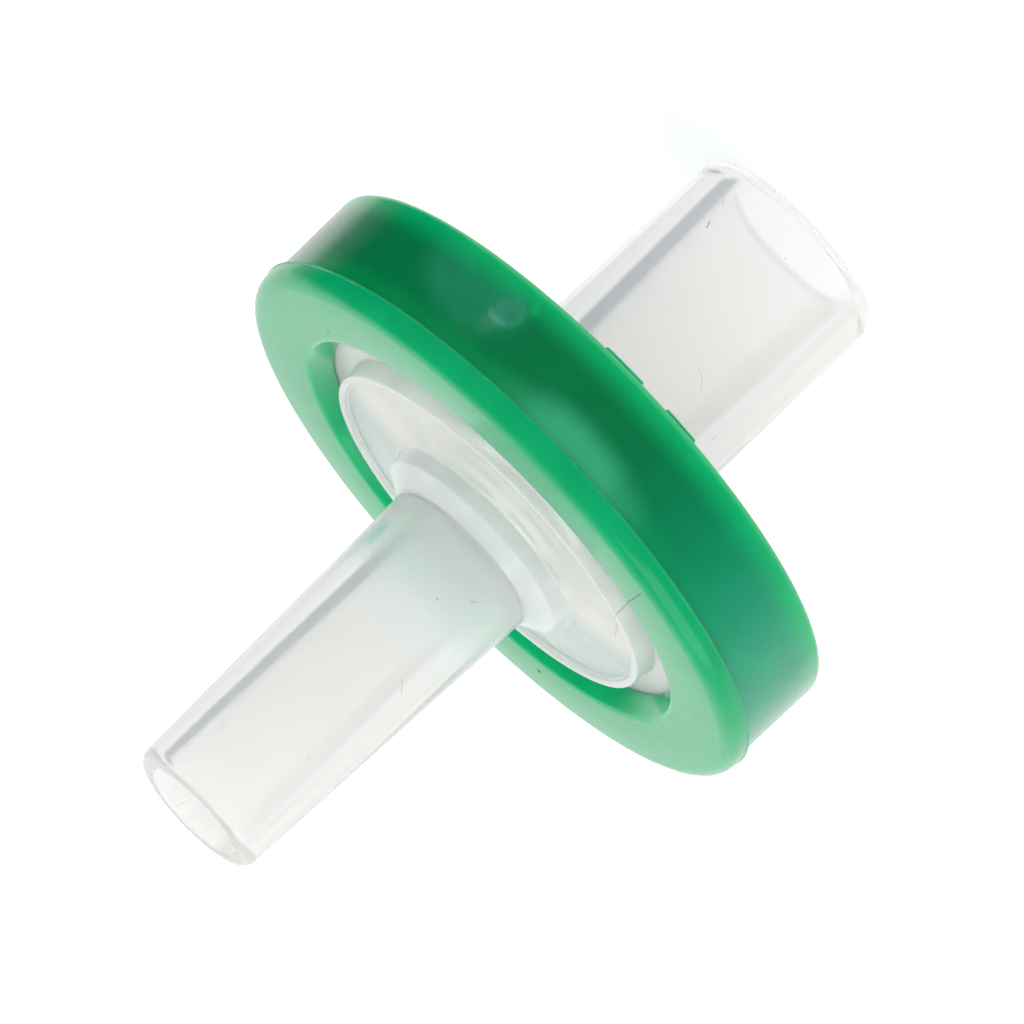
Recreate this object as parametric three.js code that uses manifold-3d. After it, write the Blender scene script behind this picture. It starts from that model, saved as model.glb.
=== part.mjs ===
// A 13 mm syringe filter: two moulded polypropylene housings with a membrane clamped
// between them, held together by a green ring that is moulded over their flanges.
// It stands on the flat end of its inlet, with the outlet tip up. Millimetres, +Z up.
import * as THREE from 'three';
import { mergeVertices } from 'three/addons/utils/BufferGeometryUtils.js';
import Module from 'manifold-3d';

// ---------- driving dimensions ----------

const SEGMENTS = 72;                // facets round every turned form
const ROUND_STEPS = 4;              // facets along a rounded edge

// the stack at the rim, from the back face of the ring to its front face
const lipThickness = 0.60;          // each lip of the ring, over a flange
const flangeThickness = 1.04;       // each housing, at its flange
const membraneThickness = 0.20;

// across: the membrane sets the size, and all that surrounds it follows
const membraneRadius = 6.50;
const membraneClearance = 0.05;     // round the membrane, in its pocket
const weldWidth = 1.05;             // where the two flanges meet, outside the pocket
const ringClearance = 0.02;         // between the flanges and the ring moulded over them
const ringWall = 1.08;              // the ring, outside the flanges
const lipWidth = 1.05;              // each lip reaches this far in over its flange

// the raised disc in each window of the ring
const grooveWidth = 0.71;           // between the window's foot and the disc's
const plateauDraft = 0.04;          // how much wider the disc is at its foot
const plateauProud = 0.04;          // its rim stands above the ring's face by this
const rimWidth = 0.21;
const rimHeight = 0.14;             // the rim, above the dished face inside it
const dishRise = 0.26;              // the face climbs this much from the rim to the collar

// the collar round the root of each tube
const collarStep = 0.81;            // from the tube out to the foot of the collar
const collarWallHeight = 0.44;
const collarDraft = 0.13;
const shoulderRise = 0.39;          // the sloped shoulder from the collar up to the tube

// the outlet: a male slip tip with the usual 6 in 100 taper
const luerTaper = 0.06;             // change in diameter for each unit of length
const outletLength = 10.85;         // beyond the front face of the ring
const tipDiameter = 4.00;
const tipWall = 0.52;
const outletBoreRoot = 2.60;        // the bore narrows a little towards the chamber
const tipRoundRadial = 0.33;
const tipRoundAxial = 0.28;
const tipLip = 0.08;                // the small chamfer inside the tip

// the inlet: a female socket with the same taper
const inletLength = 7.78;           // beyond the back face of the ring
const socketMouth = 4.30;
const socketWall = 0.86;            // at the mouth
const socketFloor = 1.47;           // between the socket and the chamber
const inletDraft = 0.08;            // how much wider the tube is at its root
const inletHole = 1.60;             // from the socket's floor into the chamber
const inletRoundRadial = 0.32;
const inletRoundAxial = 0.34;
const leadInRadial = 0.20;          // the rounded lead-in of the socket
const leadInAxial = 0.30;

// the filter chamber
const sealWidth = 1.10;             // the housings grip the membrane's edge by this much
const chamberEdgeDepth = 0.22;
const chamberCentreDepth = 0.45;
const ribRoot = 0.10;               // how far the ribs run into the wall that carries them

const supportRings = 4;             // broken rings that the membrane rests on
const supportSectors = 8;           // arcs in each ring
const supportWidth = 0.36;
const supportFromBore = 0.75;       // the middle of the first ring, from the edge of the bore
const supportFromEdge = 0.50;       // the middle of the last ring, from the edge of the chamber
const channelWidth = 0.55;          // the radial channels between the arcs

const spreaderRibs = 12;            // straight ribs that spread the flow over the membrane
const spreaderWidth = 0.40;
const spreaderFromHole = 0.65;
const spreaderFromEdge = 0.45;
const spreaderGap = 0.10;           // from these ribs to the membrane

// the moulded ring
const capStep = 0.10;               // the cap in front of the parting line is this much wider
const wallDraft = 0.04;             // the wall widens by this from the parting line to the back
const partingDepth = 0.67;          // from the front face to the parting line
const partingFlash = 0.04;
const flashWidth = 0.06;
const capRound = 0.45;
const backRound = 0.22;
const windowSlope = 0.36;           // the window narrows by this, down to the housing
const windowRound = 0.10;           // the easing of the window's edge, along the face and down
const windowRoundIn = 0.03;         // where the easing starts, in from the window's edge

// the mark left by the injection gate, in the wall of the ring
const gateDiameter = 0.74;
const gateDepth = 0.10;
const gateFromBack = 1.06;
const gateAngle = -63.9;            // degrees from +X

// two low pads on the back face of the ring, as [middle, width] along X
const pads = [[0.65, 1.30], [-1.49, 1.17]];
const padHeight = 0.10;
const padDepth = 1.05;
const padInset = 0.27;              // from the edge of the ring
const padRoot = 0.10;

// ---------- levels, from the inlet's end face up ----------

const ringBack = inletLength;
const inletSeal = ringBack + lipThickness + flangeThickness;
const outletSeal = inletSeal + membraneThickness;
const ringFront = outletSeal + flangeThickness + lipThickness;

// ---------- radii that follow from the membrane and the tubes ----------

const pocketRadius = membraneRadius + membraneClearance;
const chamberRadius = membraneRadius - sealWidth;
const flangeRadius = pocketRadius + weldWidth;
const windowRadius = flangeRadius - lipWidth;
const windowFootRadius = windowRadius - windowSlope;
const plateauRadius = windowFootRadius - grooveWidth - plateauDraft;
const wallRadius = flangeRadius + ringClearance + ringWall;

// ---------- heights on the outside of a housing, from its sealing face ----------

const faceOfRing = flangeThickness + lipThickness;
const rimTop = faceOfRing + plateauProud;
const dishEdge = rimTop - rimHeight;
const collarFoot = dishEdge + dishRise;
const collarTop = collarFoot + collarWallHeight;
const tubeRoot = collarTop + shoulderRise;

// ---------- helpers ----------

const wasm = await Module();
wasm.setup();

// points on a quarter of an ellipse about (r, a), from angle `from` to angle `to` in degrees
function arc(r, a, radial, axial, from, to) {
  const points = [];
  for (let i = 0; i <= ROUND_STEPS; i += 1) {
    const t = THREE.MathUtils.degToRad(from + ((to - from) * i) / ROUND_STEPS);
    points.push([r + radial * Math.cos(t), a + axial * Math.sin(t)]);
  }
  return points;
}

// a closed outline of [radius, height] points, turned about Z
function turned(outline) {
  const anticlockwise = THREE.ShapeUtils.area(outline.map(([r, z]) => new THREE.Vector2(r, z))) > 0;
  const ordered = anticlockwise ? outline : [...outline].reverse();
  const profile = [...ordered, ordered[0]].map(([r, z]) => new THREE.Vector2(r, z));
  const geometry = new THREE.LatheGeometry(profile, SEGMENTS);
  geometry.rotateX(Math.PI / 2);
  return merged(geometry);
}

// an outline drawn in X and Y, raised from z0 to z1
function raised(shape, z0, z1) {
  const geometry = new THREE.ExtrudeGeometry(shape, {
    depth: z1 - z0,
    bevelEnabled: false,
    curveSegments: 4,
  });
  geometry.translate(0, 0, z0);
  return merged(geometry);
}

function merged(geometry) {
  geometry.deleteAttribute('normal');
  geometry.deleteAttribute('uv');
  return mergeVertices(geometry, 1e-4);
}

function solid(geometry) {
  return new wasm.Manifold(new wasm.Mesh({
    numProp: 3,
    vertProperties: new Float32Array(geometry.attributes.position.array),
    triVerts: new Uint32Array(geometry.index.array),
  }));
}

function surface(manifold) {
  const mesh = manifold.getMesh();
  const geometry = new THREE.BufferGeometry();
  geometry.setAttribute('position', new THREE.BufferAttribute(mesh.vertProperties, 3));
  geometry.setIndex(new THREE.BufferAttribute(mesh.triVerts, 1));
  geometry.computeVertexNormals();
  return geometry;
}

function part(name, manifold, material) {
  const mesh = new THREE.Mesh(surface(manifold), material);
  mesh.name = name;
  return mesh;
}

// ---------- the housings ----------
// Both are drawn as [radius, distance outwards from the sealing face], and then
// placed with their sealing face at a level and their tube pointing up or down.

function placed(outline, seal, outwards) {
  return outline.map(([r, a]) => [r, seal + outwards * a]);
}

// the outside of a housing, from the edge of its flange in to the root of its tube
function windowSide(rootRadius) {
  const collarRadius = rootRadius + collarStep;
  return [
    [flangeRadius, flangeThickness],
    [plateauRadius + plateauDraft, flangeThickness],
    [plateauRadius, rimTop],
    [plateauRadius - rimWidth, rimTop],
    [plateauRadius - rimWidth, dishEdge],
    [collarRadius, collarFoot],
    [collarRadius - collarDraft, collarTop],
    [rootRadius, tubeRoot],
  ];
}

function outletHousing() {
  const end = faceOfRing + outletLength;
  const tipRadius = tipDiameter / 2;
  const rootRadius = tipRadius + (luerTaper / 2) * (end - tubeRoot);
  const boreTip = tipRadius - tipWall;
  const boreRoot = outletBoreRoot / 2;
  const outline = [
    [chamberRadius, 0],
    [flangeRadius, 0],
    ...windowSide(rootRadius),
    ...arc(tipRadius - tipRoundRadial, end - tipRoundAxial, tipRoundRadial, tipRoundAxial, 0, 90),
    [boreTip + tipLip, end],
    [boreTip, end - tipLip],
    [boreRoot, chamberCentreDepth],
    [chamberRadius, chamberEdgeDepth],
  ];
  let housing = solid(turned(placed(outline, outletSeal, 1)));
  for (const rib of supportRibs()) housing = housing.add(rib);
  return housing;
}

// arcs that hold the membrane up, with channels between them that lead to the bore
function supportRibs() {
  const ribs = [];
  const first = outletBoreRoot / 2 + supportFromBore;
  const step = (chamberRadius - supportFromEdge - first) / (supportRings - 1);
  const top = outletSeal + chamberCentreDepth + ribRoot;
  for (let ring = 0; ring < supportRings; ring += 1) {
    const middle = first + ring * step;
    const inner = middle - supportWidth / 2;
    const outer = middle + supportWidth / 2;
    const gap = channelWidth / middle;
    for (let sector = 0; sector < supportSectors; sector += 1) {
      const from = (sector * 2 * Math.PI) / supportSectors + gap / 2;
      const to = ((sector + 1) * 2 * Math.PI) / supportSectors - gap / 2;
      const shape = new THREE.Shape();
      shape.absarc(0, 0, outer, from, to, false);
      shape.absarc(0, 0, inner, to, from, true);
      ribs.push(solid(raised(shape, outletSeal, top)));
    }
  }
  return ribs;
}

function inletHousing() {
  const end = faceOfRing + inletLength;
  const mouth = socketMouth / 2;
  const endRadius = mouth + socketWall;
  const floor = chamberCentreDepth + socketFloor;
  const floorRadius = mouth - (luerTaper / 2) * (end - floor);
  const outline = [
    [chamberRadius, 0],
    [pocketRadius, 0],
    [pocketRadius, -membraneThickness],
    [flangeRadius, -membraneThickness],
    ...windowSide(endRadius + inletDraft / 2),
    ...arc(endRadius - inletRoundRadial, end - inletRoundAxial, inletRoundRadial, inletRoundAxial, 0, 90),
    ...arc(mouth + leadInRadial, end - leadInAxial, leadInRadial, leadInAxial, 90, 180),
    [floorRadius, floor],
    [inletHole / 2, floor],
    [inletHole / 2, chamberCentreDepth],
    [chamberRadius, chamberEdgeDepth],
  ];
  let housing = solid(turned(placed(outline, inletSeal, -1)));
  for (const rib of spreaders()) housing = housing.add(rib);
  return housing;
}

// straight ribs that fan the flow out and hold the membrane off the wall
function spreaders() {
  const ribs = [];
  const bottom = inletSeal - chamberCentreDepth - ribRoot;
  const top = inletSeal - spreaderGap;
  const inner = inletHole / 2 + spreaderFromHole;
  const outer = chamberRadius - spreaderFromEdge;
  for (let i = 0; i < spreaderRibs; i += 1) {
    const shape = new THREE.Shape([
      new THREE.Vector2(inner, -spreaderWidth / 2),
      new THREE.Vector2(outer, -spreaderWidth / 2),
      new THREE.Vector2(outer, spreaderWidth / 2),
      new THREE.Vector2(inner, spreaderWidth / 2),
    ]);
    const rib = raised(shape, bottom, top);
    rib.rotateZ((i * 2 * Math.PI) / spreaderRibs);
    ribs.push(solid(rib));
  }
  return ribs;
}

// ---------- the membrane ----------

function membrane() {
  const disc = new THREE.CylinderGeometry(membraneRadius, membraneRadius, membraneThickness, SEGMENTS);
  disc.rotateX(Math.PI / 2);
  disc.translate(0, 0, inletSeal + membraneThickness / 2);
  return solid(merged(disc));
}

// ---------- the ring ----------

function overmouldRing() {
  const bore = flangeRadius + ringClearance;
  const capRadius = wallRadius + capStep;
  const backRadius = wallRadius + wallDraft;
  const parting = ringFront - partingDepth;
  const outline = [
    [windowFootRadius, ringFront - lipThickness],
    [windowRadius - windowRoundIn, ringFront - windowRound],
    [windowRadius + windowRound, ringFront],
    ...arc(capRadius - capRound, ringFront - capRound, capRound, capRound, 90, 0),
    [capRadius, parting + flashWidth],
    [capRadius + partingFlash, parting + flashWidth / 2],
    [capRadius + partingFlash, parting],
    [wallRadius, parting - flashWidth],
    ...arc(backRadius - backRound, ringBack + backRound, backRound, backRound, 0, -90),
    [windowRadius + windowRound, ringBack],
    [windowRadius - windowRoundIn, ringBack + windowRound],
    [windowFootRadius, ringBack + lipThickness],
    [bore, ringBack + lipThickness],
    [bore, ringFront - lipThickness],
  ];
  let ring = solid(turned(outline));
  for (const pad of backPads()) ring = ring.add(pad);
  return ring.subtract(gateMark());
}

function backPads() {
  const padOuter = wallRadius + wallDraft - padInset;
  const padInner = padOuter - padDepth;
  return pads.map(([middle, width]) => {
    const half = width / 2;
    const shape = new THREE.Shape([
      new THREE.Vector2(middle - half, -Math.sqrt(padOuter ** 2 - (middle - half) ** 2)),
      new THREE.Vector2(middle + half, -Math.sqrt(padOuter ** 2 - (middle + half) ** 2)),
      new THREE.Vector2(middle + half, -padInner),
      new THREE.Vector2(middle - half, -padInner),
    ]);
    return solid(raised(shape, ringBack - padHeight, ringBack + padRoot));
  });
}

function gateMark() {
  const plugLength = 1;
  const plug = new THREE.CylinderGeometry(gateDiameter / 2, gateDiameter / 2, plugLength, SEGMENTS / 3);
  plug.rotateZ(Math.PI / 2);
  plug.translate(wallRadius - gateDepth + plugLength / 2, 0, 0);
  plug.rotateZ(THREE.MathUtils.degToRad(gateAngle));
  plug.translate(0, 0, ringBack + gateFromBack);
  return solid(merged(plug));
}

// ---------- the assembly ----------

const clearPlastic = new THREE.MeshStandardMaterial({ color: 0xeceeec, roughness: 0.3, metalness: 0 });
const greenPlastic = new THREE.MeshStandardMaterial({ color: 0x0a9a5c, roughness: 0.35, metalness: 0 });
const whiteFilm = new THREE.MeshStandardMaterial({ color: 0xf4f4f0, roughness: 0.9, metalness: 0 });

const filter = new THREE.Group();
filter.add(part('inlet_housing', inletHousing(), clearPlastic));
filter.add(part('filter_membrane', membrane(), whiteFilm));
filter.add(part('outlet_housing', outletHousing(), clearPlastic));
filter.add(part('overmould_ring', overmouldRing(), greenPlastic));

export default filter;
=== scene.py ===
# %% [markdown]
# # A small syringe filter
# This lesson builds a 13 mm syringe filter as it is made: two translucent polypropylene
# housings clamp a membrane, and a green ring is moulded over their rims. The housings and
# the ring are modelled with ordinary Blender tools, at their real size, around a frame of
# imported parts. The membrane stays as it was packed and only gets its finish.

# %% Load the frame
import math
import bpy
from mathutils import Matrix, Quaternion, Vector


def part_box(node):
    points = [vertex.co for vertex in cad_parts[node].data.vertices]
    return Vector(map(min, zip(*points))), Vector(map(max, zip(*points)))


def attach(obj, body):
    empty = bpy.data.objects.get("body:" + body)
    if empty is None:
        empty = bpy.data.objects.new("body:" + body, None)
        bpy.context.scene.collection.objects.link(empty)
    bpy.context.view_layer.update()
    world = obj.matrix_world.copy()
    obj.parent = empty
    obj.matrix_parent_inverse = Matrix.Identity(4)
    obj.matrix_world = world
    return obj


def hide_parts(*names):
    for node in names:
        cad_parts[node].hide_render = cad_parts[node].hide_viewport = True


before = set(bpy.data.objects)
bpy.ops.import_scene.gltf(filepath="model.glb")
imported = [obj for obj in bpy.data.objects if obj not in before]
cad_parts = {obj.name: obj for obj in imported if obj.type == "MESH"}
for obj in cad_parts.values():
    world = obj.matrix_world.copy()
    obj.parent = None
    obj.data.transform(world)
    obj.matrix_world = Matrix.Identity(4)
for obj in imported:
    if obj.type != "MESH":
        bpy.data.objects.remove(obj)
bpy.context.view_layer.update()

# %% [markdown]
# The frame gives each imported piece's box. The levels of the stack come from those boxes, so
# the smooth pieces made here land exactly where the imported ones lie. All other sizes are
# named in millimetres, and MM turns them into Blender's metres.

# %% Levels and sizes from the frame
MM = 0.001


def node_box(node):
    """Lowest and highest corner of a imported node, in millimetres."""
    low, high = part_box(node)
    return Vector(low) / MM, Vector(high) / MM


inlet_low, inlet_high = node_box("inlet_housing")
film_low, film_high = node_box("filter_membrane")
_, outlet_high = node_box("outlet_housing")
ring_low, ring_high = node_box("overmould_ring")

PAD_HEIGHT = 0.10
FLANGE_RADIUS = inlet_high.x
INLET_SEAL = film_low.z
OUTLET_SEAL = film_high.z
RING_FRONT = ring_high.z
RING_BACK = ring_low.z + PAD_HEIGHT
TIP_END = outlet_high.z
FIN_SPREAD = 0.008         # how far the fin's edge wanders
FLASH_RADIUS = ring_high.x - FIN_SPREAD
print("seal levels %.2f and %.2f, ring %.2f to %.2f, tip %.2f mm"
      % (INLET_SEAL, OUTLET_SEAL, RING_BACK, RING_FRONT, TIP_END))

# %% [markdown]
# An operator works on whatever is selected, and the loaded nodes come in selected. So the
# first thing is to let go of everything.

# %% Clear the selection
bpy.ops.object.select_all(action="DESELECT")
print("selected after clearing:", len(bpy.context.selected_objects))

# %% [markdown]
# ## Turned pieces
# Three habits come back in every step: keep one piece selected, put a new piece's place into
# its mesh, and pick vertices or faces by where they are. Picking by number would be shorter,
# but it breaks as soon as one size changes.

# %% Helpers to open, start and pick
SAME_PLACE = 1e-6     # vertices nearer than this to a corner are that corner, in metres
MERGE_REACH = 1e-7    # vertices nearer to each other than this are merged


def only(piece):
    """Selects one piece alone and makes it the active one."""
    bpy.ops.object.select_all(action="DESELECT")
    piece.select_set(True)
    bpy.context.view_layer.objects.active = piece


def edit(piece):
    """Opens one piece in edit mode."""
    only(piece)
    bpy.ops.object.mode_set(mode="EDIT")


def start_piece(name):
    """Names the object that an operator has just added, and puts its place in its mesh."""
    piece = bpy.context.object
    piece.name = piece.data.name = name
    bpy.ops.object.transform_apply(location=True, rotation=True, scale=True)
    return piece


def pick(piece, kind, wanted):
    """In edit mode, selects the vertices or faces that pass a test, and counts them."""
    bpy.ops.mesh.select_mode(type=kind)
    bpy.ops.mesh.select_all(action="DESELECT")
    bpy.ops.object.mode_set(mode="OBJECT")
    choice = piece.data.vertices if kind == "VERT" else piece.data.polygons
    picked = [item for item in choice if wanted(item)]
    for item in picked:
        item.select = True
    bpy.ops.object.mode_set(mode="EDIT")
    return len(picked)


# %% [markdown]
# A moulded tube or ring has rounded corners. Smooth shading leans into a rounding from the
# long face beside it, and on clear plastic that leaning shows as a dark band. A holding
# corner just past each rounding keeps the long face's shading straight.

# %% Helpers for a section's corners
LONG_SIDE = 4.0       # longer sides than this get a holding corner beside each rounding
HOLD = 0.06


def corner_reach(before, corner, after, radius):
    """How far from a corner, along its edges, an arc of this radius starts."""
    a = (Vector(before) - Vector(corner)).normalized()
    b = (Vector(after) - Vector(corner)).normalized()
    half = a.angle(b) / 2
    return radius / math.tan(half)


def with_holds(section):
    """Adds a corner just past each rounding on a long side, so its shading stays straight."""
    held = []
    for i, (r, z, rounding) in enumerate(section):
        next_r, next_z, next_rounding = section[(i + 1) % len(section)]
        side = Vector((next_r - r, next_z - z))
        held.append((r, z, rounding))
        if side.length > LONG_SIDE:
            near = (rounding + HOLD) / side.length
            far = 1 - (next_rounding + HOLD) / side.length
            for share in (near, far):
                held.append((r + side.x * share, z + side.y * share, 0))
    return held


# %% [markdown]
# A turned form can be drawn as half a section and spun. The other way, a stack of scaled
# circles, hides the section in a list of ring sizes. Here one vertex is extruded from corner
# to corner, chosen corners are rounded with a vertex bevel, and Spin carries the outline once
# round the axis.

# %% A helper that spins a section
AROUND = 240          # steps round a turned piece
ROUND_SEGMENTS = 5    # steps along a rounded corner


def turned(name, section):
    """Spins a closed section of (radius, height, rounding) corners about Z, in millimetres."""
    section = with_holds(section)
    corners = [(r * MM, z * MM) for r, z, _ in section]
    bpy.ops.mesh.primitive_plane_add(size=MM, location=(corners[0][0], 0, corners[0][1]))
    piece = start_piece(name)
    bpy.ops.object.mode_set(mode="EDIT")
    bpy.ops.mesh.select_mode(type="VERT")
    bpy.ops.mesh.merge(type="CENTER")
    for (r0, z0), (r1, z1) in zip(corners, corners[1:]):
        step = {"value": (r1 - r0, 0, z1 - z0)}
        bpy.ops.mesh.extrude_vertices_move(TRANSFORM_OT_translate=step)
    bpy.ops.mesh.select_all(action="SELECT")
    bpy.ops.mesh.edge_face_add()
    bpy.ops.mesh.delete(type="ONLY_FACE")
    for i, (_, _, rounding) in enumerate(section):
        if rounding:
            before, corner, after = corners[i - 1], corners[i], corners[(i + 1) % len(corners)]
            place = Vector((corner[0], 0, corner[1]))
            pick(piece, "VERT", lambda vertex: (vertex.co - place).length < SAME_PLACE)
            reach = corner_reach(before, corner, after, rounding * MM)
            bpy.ops.mesh.bevel(affect="VERTICES", offset=reach, segments=ROUND_SEGMENTS)
    bpy.ops.mesh.select_all(action="SELECT")
    bpy.ops.mesh.spin(steps=AROUND, angle=math.tau, center=(0, 0, 0), axis=(0, 0, 1))
    bpy.ops.mesh.select_all(action="SELECT")
    bpy.ops.mesh.remove_doubles(threshold=MERGE_REACH)
    bpy.ops.mesh.normals_make_consistent(inside=False)
    bpy.ops.object.mode_set(mode="OBJECT")
    print(name, "spun from", len(section), "corners to", len(piece.data.vertices), "vertices")
    return piece


# %% [markdown]
# Ribs and the gate's dimple are joined to a turned piece, or cut from it, with a Boolean
# modifier that is applied at once. A finished piece is shaded smooth up to a chosen angle, so
# real edges stay sharp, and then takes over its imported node's place in the frame.

# %% Helpers to join and to finish
SMOOTH_ANGLE = math.radians(35)


def combine(piece, tool, operation):
    """Joins or cuts a piece with another closed one, and throws the tool away."""
    only(piece)
    cut = piece.modifiers.new(operation.lower(), "BOOLEAN")
    cut.operation = operation
    cut.solver = "MANIFOLD"
    cut.object = tool
    bpy.ops.object.modifier_apply(modifier=cut.name)
    bpy.data.objects.remove(tool)


def finish_piece(piece, node):
    """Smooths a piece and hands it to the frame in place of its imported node."""
    only(piece)
    bpy.ops.object.shade_smooth_by_angle(angle=SMOOTH_ANGLE)
    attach(piece, "root")
    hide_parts(node)
    piece.select_set(False)
    print(piece.name, len(piece.data.polygons), "faces")


# %% [markdown]
# ## The two housings
# Both housings are one injection moulding each, in natural polypropylene. Their flanges meet
# at the seal, and on the outside each has a dished disc with a raised rim, a drafted collar
# and a sloped shoulder at the root of its tube. Corners that a mould leaves sharp get a
# rounding of a few hundredths, because a dead sharp edge never catches the light.

# %% Sizes that both housings share
LIP = 0.60                 # each lip of the green ring, over a flange
FLANGE = 1.04              # each flange
CHAMBER_RADIUS = 5.40
CHAMBER_EDGE, CHAMBER_CENTRE = 0.22, 0.45
PLATEAU_RADIUS, PLATEAU_DRAFT, PLATEAU_PROUD = 5.44, 0.04, 0.04
RIM_WIDTH, RIM_HEIGHT, RIM_DRAFT = 0.21, 0.14, 0.03
DISH_RISE = 0.26
COLLAR_STEP, COLLAR_WALL, COLLAR_DRAFT, SHOULDER = 0.81, 0.44, 0.13, 0.39
TAPER = 0.06               # change of diameter for each millimetre of a luer cone

RING_FACE = FLANGE + LIP
RIM_TOP = RING_FACE + PLATEAU_PROUD
DISH_EDGE = RIM_TOP - RIM_HEIGHT
COLLAR_FOOT = DISH_EDGE + DISH_RISE
COLLAR_TOP = COLLAR_FOOT + COLLAR_WALL
TUBE_ROOT = COLLAR_TOP + SHOULDER
print("from the seal: ring face %.2f, rim %.2f, collar %.2f to %.2f, tube from %.2f mm"
      % (RING_FACE, RIM_TOP, COLLAR_FOOT, COLLAR_TOP, TUBE_ROOT))


def window_side(root_radius):
    """The outside of a housing from its flange in to its tube, as (radius, height, rounding)."""
    collar = root_radius + COLLAR_STEP
    return [
        (FLANGE_RADIUS, FLANGE, 0.08),
        (PLATEAU_RADIUS + PLATEAU_DRAFT, FLANGE, 0.08),
        (PLATEAU_RADIUS, RIM_TOP, 0.05),
        (PLATEAU_RADIUS - RIM_WIDTH, RIM_TOP, 0.05),
        (PLATEAU_RADIUS - RIM_WIDTH - RIM_DRAFT, DISH_EDGE, 0.05),
        (collar, COLLAR_FOOT, 0.08),
        (collar - COLLAR_DRAFT, COLLAR_TOP, 0.10),
        (root_radius, TUBE_ROOT, 0.15),
    ]


def placed(section, seal, outwards):
    """Puts a section drawn from its sealing face at that face, pointing up or down."""
    return [(r, seal + outwards * a, rounding) for r, a, rounding in section]


# %% [markdown]
# The outlet is a male slip tip: a cone that narrows by 6 in 100 towards a rounded end, with
# a bore that narrows the other way.

# %% The outlet housing
TIP_RADIUS = 2.00
TIP_WALL = 0.52
BORE_ROOT = 1.30
outlet_end = TIP_END - OUTLET_SEAL
outlet_root = TIP_RADIUS + TAPER / 2 * (outlet_end - TUBE_ROOT)
outlet_section = [
    (CHAMBER_RADIUS, 0, 0),
    (FLANGE_RADIUS, 0, 0),
    *window_side(outlet_root),
    (TIP_RADIUS, outlet_end, 0.30),
    (TIP_RADIUS - TIP_WALL, outlet_end, 0.10),
    (BORE_ROOT, CHAMBER_CENTRE, 0.20),
    (CHAMBER_RADIUS, CHAMBER_EDGE, 0.08),
]
outlet = turned("outlet_tube_and_plate", placed(outlet_section, OUTLET_SEAL, 1))

# %% [markdown]
# Inside, the membrane rests on broken rings, and the gaps between them are channels to the
# bore. One arc is spun from a single face.

# %% One arc of a support ring
RINGS, SECTORS = 4, 8
RIB_WIDTH, CHANNEL = 0.36, 0.55
FIRST_RING, LAST_RING = 2.05, 4.90
RIB_ROOT = 0.10
ARC_STEPS = 12


def rib_arc(middle):
    """One arc of a support ring, spun from its end face, in millimetres."""
    depth = CHAMBER_CENTRE + RIB_ROOT
    gap = CHANNEL / middle
    sweep = math.tau / SECTORS - gap
    bpy.ops.mesh.primitive_plane_add(size=MM, location=(middle * MM, 0, 0),
                                     rotation=(math.pi / 2, 0, 0))
    arc = bpy.context.object
    arc.scale = (RIB_WIDTH, depth, 1)
    arc.location.z = (OUTLET_SEAL + depth / 2) * MM
    start_piece("rib_arc")
    bpy.ops.object.mode_set(mode="EDIT")
    bpy.ops.mesh.select_all(action="SELECT")
    bpy.ops.mesh.spin(steps=ARC_STEPS, angle=sweep, center=(0, 0, 0), axis=(0, 0, 1))
    bpy.ops.mesh.select_all(action="SELECT")
    bpy.ops.mesh.normals_make_consistent(inside=False)
    bpy.ops.object.mode_set(mode="OBJECT")
    return arc


# %% [markdown]
# The arc is copied round the ring, each copy with its own mesh, and the four rings are joined
# to the wall. The ends of some arcs lie on the wall's own edges, so corners that coincide are
# merged after, or they would leave faces without any area.

# %% The support rings
def copies_round(piece, count):
    """Copies a piece round Z, each with its own mesh, and joins them all."""
    copies = [piece]
    for i in range(1, count):
        copy = piece.copy()
        copy.data = piece.data.copy()
        copy.rotation_euler.z = math.tau * i / count
        bpy.context.collection.objects.link(copy)
        copies.append(copy)
    bpy.ops.object.select_all(action="DESELECT")
    for copy in copies:
        copy.select_set(True)
    bpy.context.view_layer.objects.active = piece
    bpy.ops.object.transform_apply(location=True, rotation=True, scale=True)
    bpy.ops.object.join()
    return bpy.context.object


for row in range(RINGS):
    middle = FIRST_RING + (LAST_RING - FIRST_RING) * row / (RINGS - 1)
    combine(outlet, copies_round(rib_arc(middle), SECTORS), "UNION")
edit(outlet)
bpy.ops.mesh.select_all(action="SELECT")
bpy.ops.mesh.remove_doubles(threshold=MERGE_REACH)
bpy.ops.object.mode_set(mode="OBJECT")
finish_piece(outlet, "outlet_housing")

# %% [markdown]
# The inlet is a plain female socket with the same taper. Straight ribs inside its flange
# spread the flow over the membrane.

# %% The inlet housing
SOCKET_MOUTH = 2.15
SOCKET_WALL = 0.86
SOCKET_FLOOR = 1.47
INLET_DRAFT = 0.04
INLET_HOLE = 0.80
POCKET_GAP = 0.05          # round the membrane
POCKET_RADIUS = film_high.x + POCKET_GAP
inlet_end = INLET_SEAL - inlet_low.z
mouth_outer = SOCKET_MOUTH + SOCKET_WALL
socket_floor = CHAMBER_CENTRE + SOCKET_FLOOR
inlet_section = [
    (CHAMBER_RADIUS, 0, 0),
    (POCKET_RADIUS, 0, 0),
    (POCKET_RADIUS, INLET_SEAL - OUTLET_SEAL, 0),
    (FLANGE_RADIUS, INLET_SEAL - OUTLET_SEAL, 0),
    *window_side(mouth_outer + INLET_DRAFT),
    (mouth_outer, inlet_end, 0.33),
    (SOCKET_MOUTH, inlet_end, 0.24),
    (SOCKET_MOUTH - TAPER / 2 * (inlet_end - socket_floor), socket_floor, 0.20),
    (INLET_HOLE, socket_floor, 0.10),
    (INLET_HOLE, CHAMBER_CENTRE, 0.10),
    (CHAMBER_RADIUS, CHAMBER_EDGE, 0.08),
]
inlet = turned("inlet_tube_and_plate", placed(inlet_section, INLET_SEAL, -1))

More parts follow.
